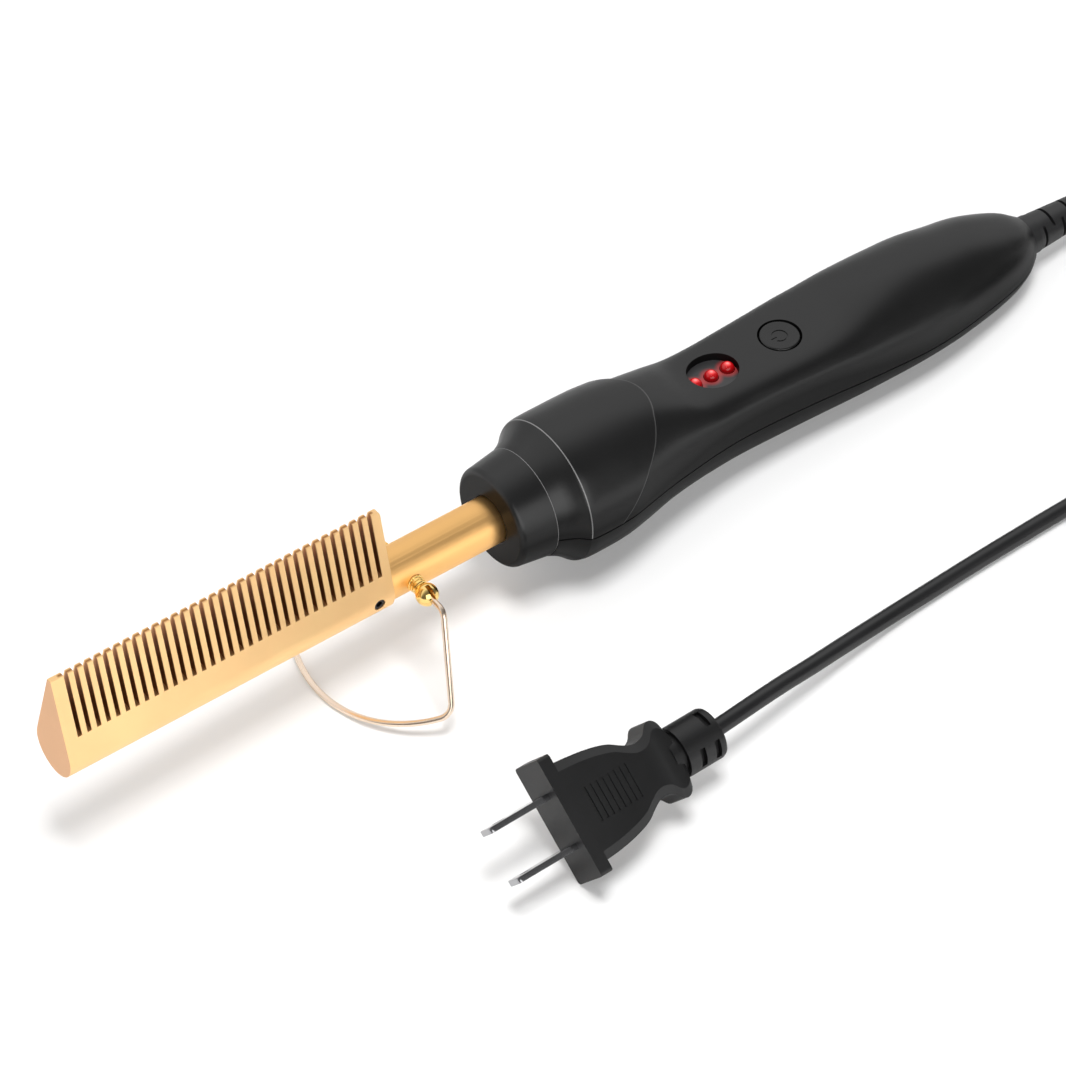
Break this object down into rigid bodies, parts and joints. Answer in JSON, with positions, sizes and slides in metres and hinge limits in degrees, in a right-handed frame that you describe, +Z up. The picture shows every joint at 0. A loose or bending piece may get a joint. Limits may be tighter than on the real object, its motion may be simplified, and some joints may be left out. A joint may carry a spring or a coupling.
{
  "type": "electric hot comb",
  "caption": "Electric pressing comb: toothed gold metal head on a neck tube, fold-away wire stand, black two-part handle with power button and lights, mains cord and two-blade plug.",
  "frame": {"origin": "centre of the object's footprint on the surface it stands on, without its free cord", "axes": "+X runs from the comb's tip towards the cord end of the handle, +Z up"},
  "size_m": [0.3533, 0.1197, 0.0576],
  "materials": {
    "satin_gold": "satin gold plating over brass, fine drawn grain",
    "polished_gold": "polished brass",
    "rose_wire": "pale rose-gold plated spring wire",
    "black_shell": "heat-resistant matte black moulding with a soft sheen",
    "black_button": "satin black with a faint moulded power symbol",
    "cord_sheath": "smooth black PVC sheath, slightly glossy",
    "plug_black": "moulded black PVC, fine texture",
    "steel": "nickel-plated steel",
    "black_screw": "black oxide socket set screw",
    "heater": "stainless heater sheath",
    "heat_bush": "mica-filled thermoset",
    "lead_sleeve": "braided glass sleeving",
    "board": "green solder mask",
    "component_black": "moulded epoxy",
    "component_red": "epoxy-dipped film capacitor",
    "ivory": "natural nylon",
    "red_led": "red diffused lens, lit"
  },
  "bodies": {
    "comb": {"comb_head": "satin_gold", "head_set_screw": "black_screw", "heater_rod": "heater", "heater_leads": "lead_sleeve", "heat_sensor": "lead_sleeve", "neck_tube": "satin_gold", "stand_post_near": "polished_gold", "stand_post_far": "polished_gold", "nose_cap": "black_shell", "tube_bush": "heat_bush", "tube_clip": "steel", "upper_shell": "black_shell", "lower_shell": "black_shell", "shell_screws": "steel", "led_1": "red_led", "led_2": "red_led", "led_3": "red_led", "button_switch": "component_black", "circuit_board": "board", "board_screws": "steel", "power_triac": "component_black", "film_capacitor": "component_red", "mains_leads": "lead_sleeve", "cord_inner": "cord_sheath", "cord_clamp": "component_black", "clamp_screws": "steel", "strain_relief": "cord_sheath", "cord_lead": "cord_sheath", "cord_coil": "cord_sheath", "cord_tail": "cord_sheath", "plug_body": "plug_black", "plug_blade_near": "steel", "plug_blade_far": "steel"},
    "stand": {"stand_wire": "rose_wire"},
    "button": {"power_button": "black_button", "switch_plunger": "ivory"}
  },
  "joints": [
    {"name": "stand_hinge", "type": "hinge", "parent": "comb", "child": "stand", "pos_m": [-0.06524, 0, 0.02626], "axis": [0, 1, 0], "range_deg": [-104, 36]},
    {"name": "button_press", "type": "slide", "parent": "comb", "child": "button", "axis": [-0.0882, 0, -0.9961], "range_m": [0, 0.0004], "stiffness_N_per_m": 2500, "springref_m": -0.0003}
  ]
}
